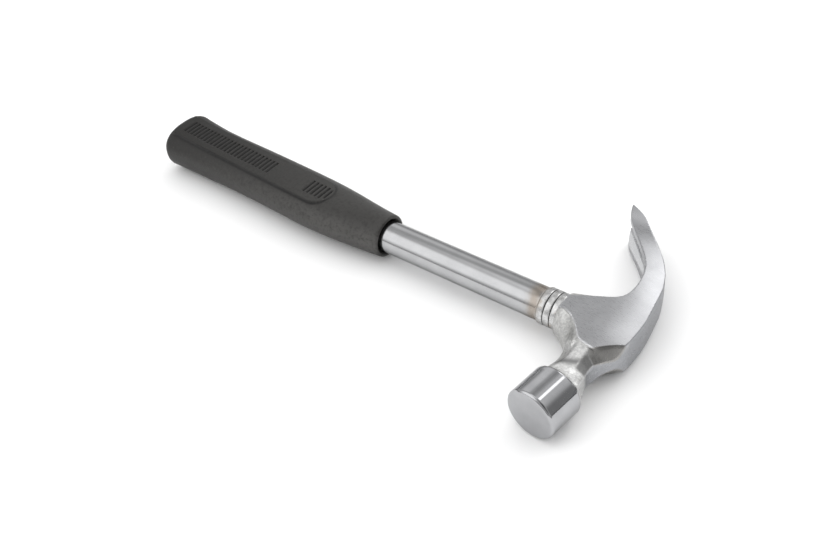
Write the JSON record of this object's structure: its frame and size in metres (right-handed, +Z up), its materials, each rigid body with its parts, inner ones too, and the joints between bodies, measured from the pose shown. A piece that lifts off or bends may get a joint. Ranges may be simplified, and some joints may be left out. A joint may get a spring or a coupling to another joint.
{
  "type": "claw hammer",
  "caption": "Claw hammer with a round striking bell, curved split claw, bright tubular steel shaft and moulded black rubber grip with ribbed panels.",
  "frame": {"origin": "bottom centre of the whole hammer's box, the hammer lying on its side", "axes": "+X along the shaft from the grip's butt to the head's crown, +Y along the head from the striking face to the claw, +Z up, square to the cheeks"},
  "size_m": [0.3158, 0.1426, 0.0265],
  "materials": {
    "forged_steel": "forged, bell mirror-polished, cheeks and claw ground and polished, neck rough",
    "bright_tube": "bright plated, beads dulled with a brown heat tint",
    "plain_steel": "plain turned",
    "grip_rubber": "matte, lightly textured"
  },
  "bodies": {
    "root": {"head": "forged_steel", "shaft_tube": "bright_tube", "expander_plug": "plain_steel", "grip": "grip_rubber"}
  },
  "joints": []
}
